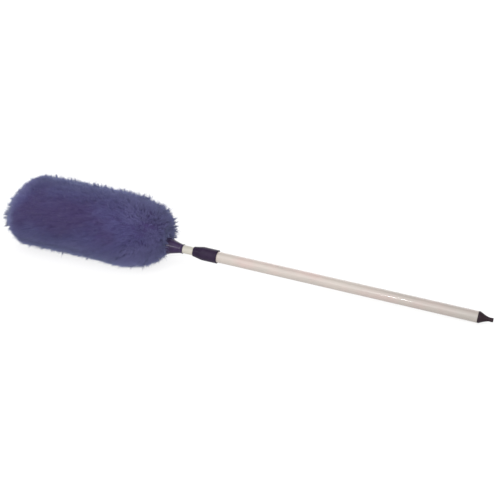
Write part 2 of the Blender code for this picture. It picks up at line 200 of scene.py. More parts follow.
def dark_plastic_look(name, dark, light, smoothest):
    """Moulded purple-black plastic: fine spark-eroded grain, a parting line and scuffed edges."""
    look = Look(name, Specular_IOR_Level=0.11)
    scuffed = (0.09, 0.075, 0.10)
    patch = look.noise(12 * MM, detail=3)
    colour = look.mix(look.span(patch, 0.35, 0.7), dark, light)
    scratch = look.noise((0.4 * MM, 0.4 * MM, 5 * MM), detail=3, roughness=0.6)
    worn = look.math("MULTIPLY", look.attribute("wear"), look.span(patch, 0.4, 0.65))
    colour = look.mix(look.math("MULTIPLY", worn, 0.3), colour, scuffed)
    colour = look.mix(look.span(scratch, 0.66, 0.75, end=0.15), colour, scuffed)
    smooth = look.span(patch, 0.3, 0.7, smoothest, smoothest + 0.12)
    roughness = look.math("ADD", smooth, look.math("MULTIPLY", worn, 0.2))
    grain = look.noise(0.45 * MM, detail=2)
    from_middle_plane = look.math("ABSOLUTE", look.on_pole("Y"))
    parting = look.span(from_middle_plane, 0.1 * MM, 0.35 * MM, 1.0, 0.0)
    bump = look.math("ADD", look.math("MULTIPLY", grain, 0.35), parting)
    return look.finish(colour, roughness, bump, 0.05 * MM)


def grey_plastic_look():
    look = Look("moulded_grey_plastic")
    patch = look.noise(9 * MM, detail=3)
    colour = look.mix(patch, (0.26, 0.26, 0.27), (0.35, 0.35, 0.36))
    grain = look.noise(0.4 * MM, detail=2)
    return look.finish(colour, look.span(patch, 0.3, 0.7, 0.42, 0.58), grain, 0.03 * MM)


def wood_look():
    """Turned softwood: growth rings that run along the core, and fine pores."""
    look = Look("turned_softwood")
    ring = look.noise((3 * MM, 3 * MM, 90 * MM), detail=4, roughness=0.6)
    colour = look.mix(look.span(ring, 0.4, 0.6), (0.66, 0.46, 0.26), (0.46, 0.28, 0.13))
    pore = look.noise((0.3 * MM, 0.3 * MM, 6 * MM), detail=2)
    colour = look.mix(look.span(pore, 0.55, 0.75, end=0.4), colour, (0.30, 0.18, 0.09))
    return look.finish(colour, look.span(ring, 0.3, 0.7, 0.55, 0.75), pore, 0.06 * MM)


def hide_look():
    """The flesh side of the pelt: pale hide with creases and a fine nap."""
    look = Look("pelt_hide", Sheen_Weight=0.2)
    patch = look.noise(14 * MM, detail=5, roughness=0.6)
    colour = look.mix(look.span(patch, 0.3, 0.7), (0.66, 0.56, 0.43), (0.46, 0.36, 0.26))
    crease = look.noise((2 * MM, 2 * MM, 4 * MM), detail=4, roughness=0.65)
    return look.finish(colour, look.span(crease, 0.3, 0.7, 0.75, 0.95), crease, 0.3 * MM)


def steel_look():
    look = Look("fastener_steel", Metallic=1.0)
    stain = look.noise(1.5 * MM, detail=4)
    colour = look.mix(look.span(stain, 0.4, 0.75), (0.62, 0.62, 0.64), (0.38, 0.35, 0.33))
    turning = look.noise((0.15 * MM, 1.5 * MM, 1.5 * MM), detail=2)
    return look.finish(colour, look.span(stain, 0.3, 0.7, 0.24, 0.45), turning, 0.02 * MM)


def wool_look(name, shadow):
    """Dyed wool, from maroon to blue by its dye and painted light value, and darker or paler by its
    tone.

    Along goes from 0 at a fibre's root, which is in shadow, to 1 at its paler, greyed tip. Where the
    dye and painted light value is highest, the wool is painted paler still: painted light, not dye.
    """
    look = Look(
        name, Sheen_Weight=0.4, Sheen_Roughness=0.5, Sheen_Tint=(0.55, 0.66, 1.0, 1),
        Specular_IOR_Level=0.15,
    )
    along, tone, dye_and_painted_light = (look.attribute(kind) for kind in ("along", "tone", "dye_and_painted_light"))
    patch = look.span(look.noise(60 * MM, detail=2, along_pole=False), 0.35, 0.65, -0.2, 0.2)
    dye_and_painted_light_patched = look.math("ADD", dye_and_painted_light, patch)
    blue = look.span(dye_and_painted_light_patched, 0.15, 0.75)
    dye = look.mix(blue, (0.042, 0.027, 0.096), (0.048, 0.042, 0.127))
    paler_dye = look.mix(blue, (0.064, 0.049, 0.132), (0.074, 0.068, 0.176))
    colour = look.mix(look.span(along, 0.5, 1.0, end=0.7), dye, paler_dye)
    colour = look.mix(look.span(along, 0.85, 1.0, end=0.35), colour, (0.145, 0.140, 0.172))
    # Painted light: high tone, raised under the wool and at both ends, mixes in the paler dye;
    # elsewhere tone differs at random
    colour = look.mix(look.span(tone, 0.55, 0.9, end=0.85), colour, paler_dye)
    # Painted light: where the value is highest, the wool is painted paler still
    colour = look.mix(look.span(dye_and_painted_light_patched, 0.75, 1.15, end=0.6), colour, (0.120, 0.113, 0.242))
    colour = look.mix(look.span(along, 0.2, 0.7, shadow, 0.0), colour, (0.019, 0.011, 0.040))
    colour = look.mix(look.span(tone, 0.1, 0.45, 0.35, 0.0), colour, (0.028, 0.017, 0.056))
    fuzz = look.noise(1.2 * MM, detail=3, along_pole=False)
    return look.finish(colour, look.span(fuzz, 0.3, 0.7, 0.8, 0.95), fuzz, 0.25 * MM)


def floor_look():
    """A pale light table: most of its brightness is its own, so shadows on it are faint."""
    look = Look("studio_floor", Emission_Color=(1, 1, 1, 1), Emission_Strength=0.75)
    cloud = look.noise(400 * MM, detail=3, along_pole=False)
    colour = look.mix(cloud, (0.21, 0.21, 0.21), (0.23, 0.23, 0.228))
    return look.finish(colour, look.span(cloud, 0.3, 0.7, 0.85, 0.95))


# ---- Turned pieces ----


def rounded(outline, cut, steps=4):
    """(radius, station, wear) points of a closed outline with each corner rounded off.

    The cut is how far from the corner its curve starts. A point just beyond each curve keeps the
    flat sides flat. Wear is 1 on a corner that stands out and 0 elsewhere.
    """
    points = []
    count = len(outline)
    for i, corner in enumerate(outline):
        here = np.array(corner)
        before, after = (np.array(outline[(i + side) % count]) - here for side in (-1, 1))
        room_before, room_after = np.linalg.norm(before), np.linalg.norm(after)
        before, after = before / room_before, after / room_after
        turn = before[0] * after[1] - before[1] * after[0]
        if here[0] == 0 or abs(turn) < 0.12:
            points.append((*here, 0.0))
            continue
        reach = min(cut, 0.42 * room_before, 0.42 * room_after)
        stands_out = 1.0 if turn < 0 else 0.0
        if room_before > 4 * reach:
            points.append((*(here + before * reach * 1.6), 0.0))
        for step in range(steps + 1):
            way = step / steps
            start, end = here + before * reach, here + after * reach
            at = (1 - way) ** 2 * start + 2 * way * (1 - way) * here + way**2 * end
            points.append((*at, stands_out))
        if room_after > 4 * reach:
            points.append((*(here + after * reach * 1.6), 0.0))
    return points


def eased(start, end, power, steps=24):
    """(radius, station) points from start to end, where the radius follows a power of the way."""
    ways = [step / steps for step in range(steps + 1)]
    return [
        (start[0] + (end[0] - start[0]) * way**power, start[1] + (end[1] - start[1]) * way)
        for way in ways
    ]


def set_attribute(mesh, name, values):
    mesh.attributes.new(name, "FLOAT", "POINT").data.foreach_set("value", values)


def add_piece(name, mesh, material, body, replaced=()):
    mesh.materials.append(material)
    mesh.shade_smooth()
    piece = bpy.data.objects.new(name, mesh)
    bpy.context.scene.collection.objects.link(piece)
    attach(piece, body)
    if replaced:
        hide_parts(*replaced)
    return piece


def turned(name, outline, cut, material, body):
    """Turns an outline about the pole's axis, with its corners rounded, in place of the CAD node."""
    rings, points, wears = [], [], []
    for radius, station, wear in rounded(outline, cut):
        sides = SIDES if radius > 0 else 1
        rings.append([len(points) + i for i in range(sides)])
        for i in range(sides):
            angle = math.tau * i / SIDES
            local = Vector((radius * math.cos(angle), radius * math.sin(angle), station))
            points.append(POLE_FRAME @ local)
            wears.append(wear)
    faces = []
    for ring, following in zip(rings, rings[1:] + rings[:1]):
        if len(ring) == len(following) == 1:
            continue
        for i in range(SIDES):
            j = (i + 1) % SIDES
            corners = [
                ring[i % len(ring)], ring[j % len(ring)],
                following[j % len(following)], following[i % len(following)],
            ]
            faces.append(list(dict.fromkeys(corners)))
    mesh = bpy.data.meshes.new(name)
    mesh.from_pydata(points, [], faces)
    set_attribute(mesh, "wear", wears)
    return add_piece(name, mesh, material, body, [name.removesuffix("_finish")])


def make_pole():
    pale_tube = tube_look(
        "pale_painted_tube", (0.374, 0.333, 0.302), (0.414, 0.302, 0.285), (0.310, 0.293, 0.270), 0.35
    )
    cream_tube = tube_look(
        "cream_painted_tube", (0.386, 0.366, 0.318), (0.396, 0.356, 0.310), (0.322, 0.313, 0.271), 0.2
    )
    cap_plastic = dark_plastic_look(
        "cap_plastic", (0.0150, 0.0078, 0.0113), (0.0205, 0.0118, 0.0158), smoothest=0.4
    )
    collar_plastic = dark_plastic_look(
        "collar_plastic", (0.0155, 0.0088, 0.0238), (0.0220, 0.0127, 0.0322), smoothest=0.32
    )
    bell_plastic = dark_plastic_look(
        "ferrule_plastic", (0.0255, 0.0155, 0.0420), (0.0345, 0.0210, 0.0560), smoothest=0.12
    )
    turned(
        "outer_tube_finish",
        [
            (OUTER_BORE, TUBE_MOUTH), (OUTER_RADIUS, TUBE_MOUTH),
            (OUTER_RADIUS, TUBE_START), (OUTER_BORE, TUBE_START),
        ],
        0.3 * MM, pale_tube, "handle",
    )
    turned(
        "inner_tube_finish",
        [
            (INNER_BORE, INNER_TUBE_END), (INNER_RADIUS, INNER_TUBE_END),
            (INNER_RADIUS, INNER_TUBE_START), (INNER_BORE, INNER_TUBE_START),
        ],
        0.3 * MM, cream_tube, "inner_pole",
    )
    turned("end_cap_finish", cap_outline(), 0.5 * MM, cap_plastic, "handle")
    turned("lock_collar_finish", collar_outline(), 0.9 * MM, collar_plastic, "lock_collar")
    turned("ferrule_finish", ferrule_outline(), 0.45 * MM, bell_plastic, "inner_pole")


def cap_outline():
    """A hollow plug in the tube, a rim flush with it, a hollow-sided cone and a blunt nose."""
    plug_radius, plug_bore, plug_floor, plug_end = 8.4 * MM, 6.4 * MM, 25.8 * MM, 38.8 * MM
    rim_bottom, cone_top, nose_top = 22 * MM, 20.8 * MM, 6 * MM
    cone = eased((CAP_NOSE_RADIUS, nose_top), (OUTER_RADIUS - 0.3 * MM, cone_top), 1.4)
    return [
        (0, plug_floor), (plug_bore, plug_floor), (plug_bore, plug_end),
        (plug_radius, plug_end), (plug_radius, CAP_LENGTH),
        (OUTER_RADIUS, CAP_LENGTH), (OUTER_RADIUS, rim_bottom),
        *reversed(cone),
        (CAP_NOSE_RADIUS + 0.15 * MM, 2.5 * MM), (CAP_NOSE_RADIUS, 0), (0, 0),
    ]


def collar_outline():
    """A barrel with a lip at the back and a tapered nose, hollow for the thread and the collet."""
    barrel_front, lip_front = 492 * MM, 466.6 * MM
    shoulder, cone_end = 492.2 * MM, 505.8 * MM
    cone_start_radius, cone_end_radius, mouth_radius = 9.5 * MM, 8.3 * MM, INNER_RADIUS + 0.3 * MM
    return [
        (mouth_radius, COLLAR_NOSE), (COLLAR_NOSE_RADIUS, COLLAR_NOSE),
        (COLLAR_RADIUS, barrel_front),
        (COLLAR_RADIUS - 0.1 * MM, lip_front + 0.8 * MM), (COLLAR_RADIUS - 0.05 * MM, lip_front),
        (COLLAR_RADIUS - 0.05 * MM, COLLAR_BACK), (COLLAR_BORE, COLLAR_BACK),
        (COLLAR_BORE, shoulder), (cone_start_radius, shoulder), (cone_end_radius, cone_end),
        (mouth_radius, cone_end),
    ]


def ferrule_outline():
    """A beaded neck over the inner tube, and a bell that flares over the end of the pelt."""
    bead_radius, tube_bore, tube_stop = NECK_RADIUS + 0.25 * MM, INNER_RADIUS + 0.2 * MM, 544.5 * MM
    vent_radius, core_bore, core_stop = 3 * MM, 8.2 * MM, 546.4 * MM
    pelt_bore, pelt_stop = 11.3 * MM, 556 * MM
    bell = eased((NECK_RADIUS, FERRULE_NECK + 4.5 * MM), (BELL_RADIUS, BELL_MOUTH), 1.05)
    return [
        (BELL_RADIUS - 1.4 * MM, BELL_MOUTH),
        *reversed(bell),
        (NECK_RADIUS, FERRULE_NECK + 2 * MM), (bead_radius, FERRULE_NECK + 1.4 * MM),
        (bead_radius, FERRULE_NECK), (tube_bore, FERRULE_NECK), (tube_bore, tube_stop),
        (vent_radius, tube_stop), (vent_radius, core_stop), (core_bore, core_stop),
        (core_bore, pelt_stop), (pelt_bore, pelt_stop), (pelt_bore, pelt_stop + 2 * MM),
    ]


def dress_hidden_nodes():
    """Gives each CAD node that stays a worked material in place of its plain one."""
    looks = {
        "grey_plastic": grey_plastic_look(),
        "core_wood": wood_look(),
        "hide": hide_look(),
        "fastener_steel": steel_look(),
    }
    for node in frame["nodes"].values():
        for slot in node.material_slots:
            if slot.material.name in looks:
                slot.material = looks[slot.material.name]


# ---- Wool ----

UP = np.array((math.sin(WOOL_TILT), 0, math.cos(WOOL_TILT)))
SIDE = np.array((0.0, 1.0, 0.0))
DEEPER = np.array((math.cos(WOOL_TILT), 0, -math.sin(WOOL_TILT)))
HEAD_WAY = np.array(POLE_FRAME.col[2][:3])

WOOL_PIECES = 9
TUFTS, LOCKS, FIBRES_IN_LOCK = 520, 6200, 12
RINGS = 5  # of points along a fibre
ROOT_LENGTH = 17 * MM  # how far under the surface a fibre starts
FIBRE_RADIUS, FIBRE_TIP_RADIUS = 0.32 * MM, 0.10 * MM
BODY_INSET = 5.0 * MM  # how far the soft body is under the wool's surface
BODY_SIDES, BODY_RINGS = 160, 150
SOFTNESS = 0.85  # how far a fibre is shaded as the wool's surface faces, not as it faces itself
COMBED, SAG = 26 * MM, 5 * MM  # how far the tips lean towards the round tip, and hang down
LUMP = 34 * MM  # the size of the swells in the fleece
LOCK_PATCH = 2.8 * MM  # how far from the middle of its lock a fibre starts
LOCK_SPREAD, PROUD_SPREAD, STRAY_SPREAD = 2.4 * MM, 0.7 * MM, 3.6 * MM  # and ends
CRIMP, CRIMP_WAVES = 0.7 * MM, 1.8  # the swing of a fibre from side to side, and how often

# Depths where the wool changes: from where it counts not at all to where it counts fully. The pale
# and painted light spans are where painted light makes the wool paler.
TIP_THINNED, TIP_PALE = (50 * MM, 0), (90 * MM, 0)
HANDLE_END_PALE, BELL_END_PAINTED_LIGHT = (190 * MM, 300 * MM), (250 * MM, 300 * MM)
SWELL, SWELL_DEPTH, SWELL_REACH = 4 * MM, 270 * MM, (64 * MM, 24 * MM)  # of the underside

# The share of locks that stand proud, by where they are, and of fibres that stray from their lock.
# The side towards the photo's camera has fewer than the far side, to match the photo.
PROUD_ABOVE, PROUD_BELOW, PROUD_NEAR_SIDE, PROUD_FAR_SIDE = 0.36, 0.08, 0.05, 0.14
STRAY_SHARE = 0.08
LEAST_RISE, MOST_RISE = 1.5 * MM, 6.5 * MM  # of a proud lock


def ramp(value, start, end):
    """How far the value is on its way from start to end, as a share from 0 to 1."""
    return np.clip((value - start) / (end - start), 0, 1)


def wool_profile(count):
    """(depth, radius) points down the wool's side: round tip, middle, full shoulder, flat end."""
    count //= 3
    rise = np.linspace(0, math.pi / 2, count)
    tip = np.stack((TIP_LENGTH * (1 - np.cos(rise)), WOOL_RADIUS * np.sin(rise)), 1)
    middle_depth = np.linspace(TIP_LENGTH, WOOL_LENGTH - SHOULDER_LENGTH, count)
    middle = np.stack((middle_depth, np.full(count, WOOL_RADIUS)), 1)
    fall = np.linspace(math.pi / 2, 0, count)
    inward = 1 - np.cos(fall)
    swell = (1 - (1 - inward) ** 2) ** SHOULDER_POWER
    shoulder = np.stack(
        (WOOL_LENGTH - SHOULDER_LENGTH * inward, END_RADIUS + (WOOL_RADIUS - END_RADIUS) * swell), 1
    )
    end = np.array([(WOOL_LENGTH, END_RADIUS * 0.6)])
    return np.concatenate((tip, middle[1:], shoulder[1:], end))


def even_profile(count):
    """The same profile with its points evenly apart."""
    points = wool_profile(900)
    steps = np.linalg.norm(np.diff(points, axis=0), axis=1)
    length = np.concatenate(([0], np.cumsum(steps)))
    wanted = np.linspace(0, length[-1], count)
    return np.stack([np.interp(wanted, length, points[:, axis]) for axis in (0, 1)], 1)


def profile_normals(points):
    """The (depth, radius) directions that point straight out of the profile."""
    along = np.gradient(points, axis=0)
    across = np.stack((-along[:, 1], along[:, 0]), 1)
    return across / np.linalg.norm(across, axis=1)[:, None]


def outward(angle):
    """Unit vectors straight out from the wool's axis, at each angle from the top."""
    return np.cos(angle)[..., None] * UP + np.sin(angle)[..., None] * SIDE


def swirl(points, size, seed, waves=14):
    """Smooth noise of about -1 to 1, with lumps of that size, made of crossing waves."""
    rng = np.random.default_rng(seed)
    total = np.zeros(points.shape[:-1])
    for _ in range(waves):
        way = rng.normal(size=3)
        way *= rng.uniform(0.7, 1.4) / np.linalg.norm(way)
        total += np.sin(points @ way * math.tau / size + rng.uniform(0, math.tau))
    return total / math.sqrt(waves)


def lean_back(points):
    """Shears both ends so that their tops are nearer the handle, as the fleece hangs."""
    from_tip = points - np.array(WOOL_TIP)
    depth = from_tip @ DEEPER
    at_tip = ramp(depth, LEAN_DEPTH, 0)
    at_end = ramp(depth, WOOL_LENGTH - LEAN_DEPTH, WOOL_LENGTH)
    lean = (TIP_LEAN * at_tip + END_LEAN * at_end) * (from_tip @ UP)
    return points + lean[..., None] * DEEPER


def rest_on_floor(points):
    """Presses what would be below the floor flat against it, and barely moves the rest."""
    soft = 1.6 * MM
    z = points[..., 2]
    points[..., 2] = (z + np.sqrt(z**2 + soft**2)) / 2
    return points


def clear_of_ferrule(points):
    """Pushes points out of the ferrule, away from the pole's axis."""
    from_tip = points - np.array(CAP_TIP)
    station = from_tip @ HEAD_WAY
    foot = station[..., None] * HEAD_WAY
    away = from_tip - foot
    radius = np.linalg.norm(away, axis=-1)
    way = ramp(station, FERRULE_NECK, BELL_MOUTH)
    least = NECK_RADIUS + (BELL_RADIUS - NECK_RADIUS) * way**1.1 + 0.5 * MM
    push = np.where(station < BELL_MOUTH + 2 * MM, np.maximum(least / radius, 1), 1)
    return np.array(CAP_TIP) + foot + away * push[..., None]


def mesh_from_arrays(name, points, quads, triangles):
    """Makes a mesh from points and from the numbers of the corners of its faces."""
    mesh = bpy.data.meshes.new(name)
    mesh.vertices.add(len(points))
    mesh.vertices.foreach_set("co", points.ravel())
    corners = np.concatenate((quads.ravel(), triangles.ravel()))
    mesh.loops.add(len(corners))
    mesh.loops.foreach_set("vertex_index", corners)
    sizes = np.concatenate((np.full(len(quads), 4), np.full(len(triangles), 3)))
    mesh.polygons.add(len(sizes))
    mesh.polygons.foreach_set("loop_start", np.cumsum(sizes) - sizes)
    mesh.update(calc_edges=True)
    return mesh


def body_surface(angle):
    """Rings of points of the soft body's outside, from the round tip to the bell."""
    profile = even_profile(BODY_RINGS)
    normals = profile_normals(profile)
    depth = profile[:, 0]
    at_shoulder = ramp(depth, 224 * MM, 264 * MM) * ramp(depth, WOOL_LENGTH, WOOL_LENGTH - 15 * MM)
    inset = BODY_INSET + (4.5 * ramp(depth, *TIP_THINNED) + 1.8 * at_shoulder) * MM
    inset = np.minimum(inset, profile[:, 1] * 0.5)
    profile = profile - normals * inset[:, None]
    profile[:, 1] = np.maximum(profile[:, 1], 0.5 * MM)
    out = outward(angle)
    points = (
        np.array(WOOL_TIP) + profile[:, None, :1] * DEEPER + profile[:, None, 1:] * out[None]
    )
    straight_out = normals[:, None, :1] * DEEPER + normals[:, None, 1:] * out[None]
    lump = 0.8 * swirl(points, LUMP, SEED) + 0.2 * swirl(points, 8 * MM, SEED + 1)
    points = points + straight_out * (lump * MM)[..., None]
    return clear_of_ferrule(rest_on_floor(lean_back(points)))


def body_bore(angle):
    """Rings of points of the hollow for the core and the bell, from the bell to near the tip."""
    stations = np.array((559, 580, 640, 720, 800, 824)) * MM
    pole_up, pole_side = (np.array(POLE_FRAME.col[i][:3]) for i in (0, 1))
    out = np.cos(angle)[:, None] * pole_up + np.sin(angle)[:, None] * pole_side
    return np.array(CAP_TIP) + stations[:, None, None] * HEAD_WAY + WOOL_BORE_RADIUS * out[None]


def make_wool_body(material):
    """The mass of wool under the tips: a lumpy soft body, hollow for the core and the bell."""
    around = BODY_SIDES
    angle = np.arange(around) / around * math.tau
    rings = np.concatenate((body_surface(angle), body_bore(angle)))
    count = len(rings)
    index = np.arange(count * around).reshape(count, around)
    following = np.roll(index, -1, axis=1)
    quads = np.stack((index[:-1], index[1:], following[1:], following[:-1]), -1).reshape(-1, 4)
    tip, bore_floor = count * around, count * around + 1
    fans = np.concatenate((
        np.stack((np.full(around, tip), index[0], following[0]), 1),
        np.stack((np.full(around, bore_floor), following[-1], index[-1]), 1),
    ))
    middles = np.stack((rings[0].mean(0), rings[-1].mean(0)))
    points = np.concatenate((rings.reshape(-1, 3), middles))
    mesh = mesh_from_arrays("wool_body", points, quads, fans)
    for name, value in (("along", 0.35), ("tone", 0.4), ("dye_and_painted_light", 0.4)):
        set_attribute(mesh, name, np.full(len(points), value))
    body = add_piece("wool_body", mesh, material, "inner_pole", ["wool_pile"])


def spread_over_wool(count, rng):
    """Places spread evenly over the wool, with the ways that lead from each."""
    profile = even_profile(1200)
    normals = profile_normals(profile)
    area = np.cumsum(profile[:, 1])
    share = (np.arange(count) + rng.uniform(0, 1, count)) / count
    at = np.interp(share * area[-1], area, np.arange(len(profile)))
    index = np.clip(at.round().astype(int), 0, len(profile) - 1)
    depth, radius = profile[index].T
    golden = math.pi * (3 - math.sqrt(5))
    angle = np.arange(count) * golden + rng.normal(0, 2.2 * MM, count) / np.maximum(radius, 4 * MM)
    out = outward(angle)
    return SimpleNamespace(
        base=np.array(WOOL_TIP) + depth[:, None] * DEEPER + radius[:, None] * out,
        normal=normals[index, :1] * DEEPER + normals[index, 1:] * out,
        to_handle=normals[index, 1:] * DEEPER - normals[index, :1] * out,
        around=np.cross(DEEPER, out),
        depth=depth,
        radius=radius,
        angle=angle % math.tau,
    )


def lock_leans(locks, to_middle, rng):
    """How far each lock's point is moved along the surface: combed to the tip, and sagging."""
    depth, normal = locks.depth, locks.normal
    to_middle = to_middle - (to_middle * normal).sum(1)[:, None] * normal
    combed = COMBED * ramp(depth, 0, 80 * MM)
    combed *= np.maximum(ramp(depth, WOOL_LENGTH, WOOL_LENGTH - 130 * MM), 0.05)
    hanging = -UP + (UP * normal).sum(1)[:, None] * normal
    lean_to_handle = 3.0 * MM * swirl(locks.base, 60 * MM, SEED + 2) - combed
    lean_round = 3.0 * MM * swirl(locks.base, 60 * MM, SEED + 3)
    lean = lean_to_handle[:, None] * locks.to_handle + lean_round[:, None] * locks.around
    return lean + SAG * hanging + 0.2 * to_middle + rng.normal(0, 1.2 * MM, (LOCKS, 3))


def lock_heights(locks, from_tuft, on_side, rng):
    """How far each lock's point is above the surface, and which locks stand proud."""
    depth, upward = locks.depth, locks.normal @ UP
    at_tip, facing_up, low = ramp(depth, *TIP_THINNED), ramp(upward, 0, 1), ramp(upward, 0.35, -0.65)
    height = 1.4 * MM * (1 - from_tuft / (7 * MM)) + 0.9 * MM * swirl(locks.base, LUMP, SEED)
    height += rng.normal(0, 0.6 * MM, LOCKS) - 0.2 * MM
    height -= (0.8 * facing_up + at_tip * (3.5 + 4.5 * facing_up)) * MM
    height += SWELL * low * ramp(abs(depth - SWELL_DEPTH), *SWELL_REACH)
    share_on_side = np.where(locks.normal @ SIDE > 0, PROUD_FAR_SIDE, PROUD_NEAR_SIDE)
    share_elsewhere = np.where(upward > -0.4, PROUD_ABOVE, PROUD_BELOW)
    proud = rng.random(LOCKS) < np.where(on_side, share_on_side, share_elsewhere)
    rise = rng.uniform(LEAST_RISE, MOST_RISE, LOCKS) + 4.5 * MM * at_tip
    return height + np.where(proud, rise, 0), proud


def lock_colours(locks, tuft, rng):
    """Each lock's tone and its dye and painted light value, fitted to the photo: paler and bluer at
    both ends, as painted light.

    It is bluer too on top and low down, where the wool's outline is from the photo's camera height: a
    painted sheen.
    These bands are fixed on the wool: nothing here reads the camera.
    """
    depth, upward = locks.depth, locks.normal @ UP
    near_tip, near_handle = ramp(depth, *TIP_PALE), ramp(depth, *HANDLE_END_PALE)
    shortened = locks.base - 0.75 * (locks.base @ DEEPER)[:, None] * DEEPER
    tone = 0.5 + 0.11 * swirl(shortened, 11 * MM, SEED + 4) + rng.normal(0, 0.04, LOCKS)
    tone += rng.normal(0, 0.03, TUFTS)[tuft]
    # Painted light: tone is raised on the underside, to offset its shade, and at both ends, to
    # lighten them
    tone += 0.4 * ramp(upward, 0.35, -0.65) + 0.45 * near_tip + 0.55 * near_handle
    # Painted sheen: bluer on top and low down, along the wool's outline as seen from the camera's
    # height
    outline = ramp(upward, 0.55, 0.95) + ramp(upward, 0.2, -0.3)
    dye_and_painted_light = 0.25 + 0.45 * outline + 0.14 * swirl(locks.base, 110 * MM, SEED + 6)
    # Painted light: bluer and paler at the tip, at the handle end (most on top there) and over the
    # bell end
    dye_and_painted_light += 0.8 * near_tip + near_handle * (0.3 + 0.3 * ramp(1.5 * upward, 0.2, 1.2))
    dye_and_painted_light += 0.8 * ramp(depth, *BELL_END_PAINTED_LIGHT)
    return tone, dye_and_painted_light


def grow_fibres():
    """Every fibre: its centre-line, the surface's normal, angle round the axis, tone, and its dye and
    painted light value.
    """
    rng = np.random.default_rng(SEED)
    tuft_middle = spread_over_wool(TUFTS, rng).base
    locks = spread_over_wool(LOCKS, rng)

    # Locks gather into tufts that stand up in the middle, and all are combed and sag a little.
    distance = np.linalg.norm(locks.base[:, None] - tuft_middle[None], axis=2)
    tuft = distance.argmin(1)
    on_side = np.linalg.norm(np.cross(locks.normal, SIDE), axis=1) < 0.8
    lean = lock_leans(locks, tuft_middle[tuft] - locks.base, rng)
    height, proud = lock_heights(locks, distance.min(1), on_side, rng)
    lean *= np.where(proud, 0.15, 1)[:, None]
    lock_tone, lock_dye_and_painted_light = lock_colours(locks, tuft, rng)
    phase = rng.uniform(0, math.tau, LOCKS)

    # Each fibre starts somewhere in its lock's patch and ends near the lock's point.
    size = (LOCKS, FIBRES_IN_LOCK)
    stray = rng.random(size) < STRAY_SHARE
    start = rng.normal(0, LOCK_PATCH, (*size, 2))
    spread = np.where(stray, STRAY_SPREAD, np.where(proud, PROUD_SPREAD, LOCK_SPREAD)[:, None])
    end = rng.normal(0, 1, (*size, 2)) * spread[..., None]
    rise = height[:, None] + rng.normal(0, 0.9, size) * MM
    stray_rise = rng.uniform(0.5, 6.5, size) * np.where(on_side, 0.5, 1)[:, None] * MM
    rise += np.where(stray, stray_rise, 0)
    fibre_lean = lean[:, None] * np.where(stray, 0.4, 1)[..., None]
    root = np.minimum(ROOT_LENGTH, locks.radius * 0.55 + 2 * MM)
    wave = phase[:, None] + rng.normal(0, 0.5, size)

    # The fibre rises fast and leans late, and crimps more and more towards its tip.
    way = np.linspace(0, 1, RINGS)
    centre = np.zeros((*size, RINGS, 3))
    level = -root[:, None, None] + (root[:, None, None] + rise[..., None]) * (1 - (1 - way) ** 1.4)
    centre += level[..., None] * locks.normal[:, None, None]
    centre += (way**1.6)[:, None] * fibre_lean[:, :, None]
    for axis, direction in enumerate((locks.to_handle, locks.around)):
        offset = start[..., axis, None] + (end[..., axis, None] - start[..., axis, None]) * way**0.8
        turn = way * math.tau * CRIMP_WAVES + wave[..., None] + axis * math.pi / 2
        crimp = CRIMP * np.sin(turn)
        centre += (offset + crimp * (0.3 + 0.7 * way))[..., None] * direction[:, None, None]
    centre += locks.base[:, None, None]
    centre = clear_of_ferrule(rest_on_floor(lean_back(centre)))
    facing = np.broadcast_to(locks.normal[:, None], (*size, 3)).reshape(-1, 3)
    angle = np.broadcast_to(locks.angle[:, None], size)
    tone = np.clip(lock_tone[:, None] + rng.normal(0, 0.05, size), 0, 1)
    dye_and_painted_light = np.clip(lock_dye_and_painted_light[:, None] + rng.normal(0, 0.04, size) + 0.3 * stray, 0, 1.4)
    return centre.reshape(-1, RINGS, 3), facing, angle.ravel(), tone.ravel(), dye_and_painted_light.ravel()


def fibre_mesh(name, centre, facing, tone, dye_and_painted_light):
    """Three-sided tapered fibres, closed at the root and pointed at the tip.

    They are shaded mostly as the wool's surface faces, because light passes through thin fibres.
    """
    count = len(centre)
    along = np.gradient(centre, axis=1)
    along /= np.linalg.norm(along, axis=2)[..., None]
    across = np.cross(along, np.array((0.31, 0.83, 0.46)))
    across /= np.linalg.norm(across, axis=2)[..., None]
    third = np.cross(along, across)
    way = np.linspace(0, 1, RINGS)
    radius = FIBRE_RADIUS + (FIBRE_TIP_RADIUS - FIBRE_RADIUS) * way**1.5
    corners = np.arange(3) * math.tau / 3
    rings = (
        centre[:, :-1, None]
        + radius[:-1, None, None] * np.cos(corners)[:, None] * across[:, :-1, None]
        + radius[:-1, None, None] * np.sin(corners)[:, None] * third[:, :-1, None]
    )
    points = np.concatenate((rings.reshape(count, -1, 3), centre[:, -1:]), 1)
    per_fibre = points.shape[1]
    first = (np.arange(count) * per_fibre)[:, None, None]
    ring = np.arange(RINGS - 1)[:, None] * 3 + np.arange(3)
    turn = np.roll(ring, -1, axis=1)
    sides = np.stack((ring[:-1], turn[:-1], turn[1:], ring[1:]), -1).reshape(-1, 4)
    point = per_fibre - 1
    ends = [(ring[-1, i], turn[-1, i], point) for i in range(3)] + [(2, 1, 0)]
    mesh = mesh_from_arrays(
        name, points.reshape(-1, 3), (first + sides).reshape(-1, 4),
        (first + np.array(ends)).reshape(-1, 3),
    )
    share = np.append(np.repeat(way[:-1], 3), 1.0)
    set_attribute(mesh, "along", np.tile(share, count))
    set_attribute(mesh, "tone", np.repeat(tone, per_fibre))
    set_attribute(mesh, "dye_and_painted_light", np.repeat(dye_and_painted_light, per_fibre))
    own = points - np.concatenate((np.repeat(centre[:, :-1], 3, axis=1), centre[:, -2:-1]), 1)
    own /= np.linalg.norm(own, axis=2)[..., None]
    shading = (1 - SOFTNESS) * own + SOFTNESS * facing[:, None]
    shading /= np.linalg.norm(shading, axis=2)[..., None]
    mesh.normals_split_custom_set_from_vertices(shading.reshape(-1, 3))
    return mesh


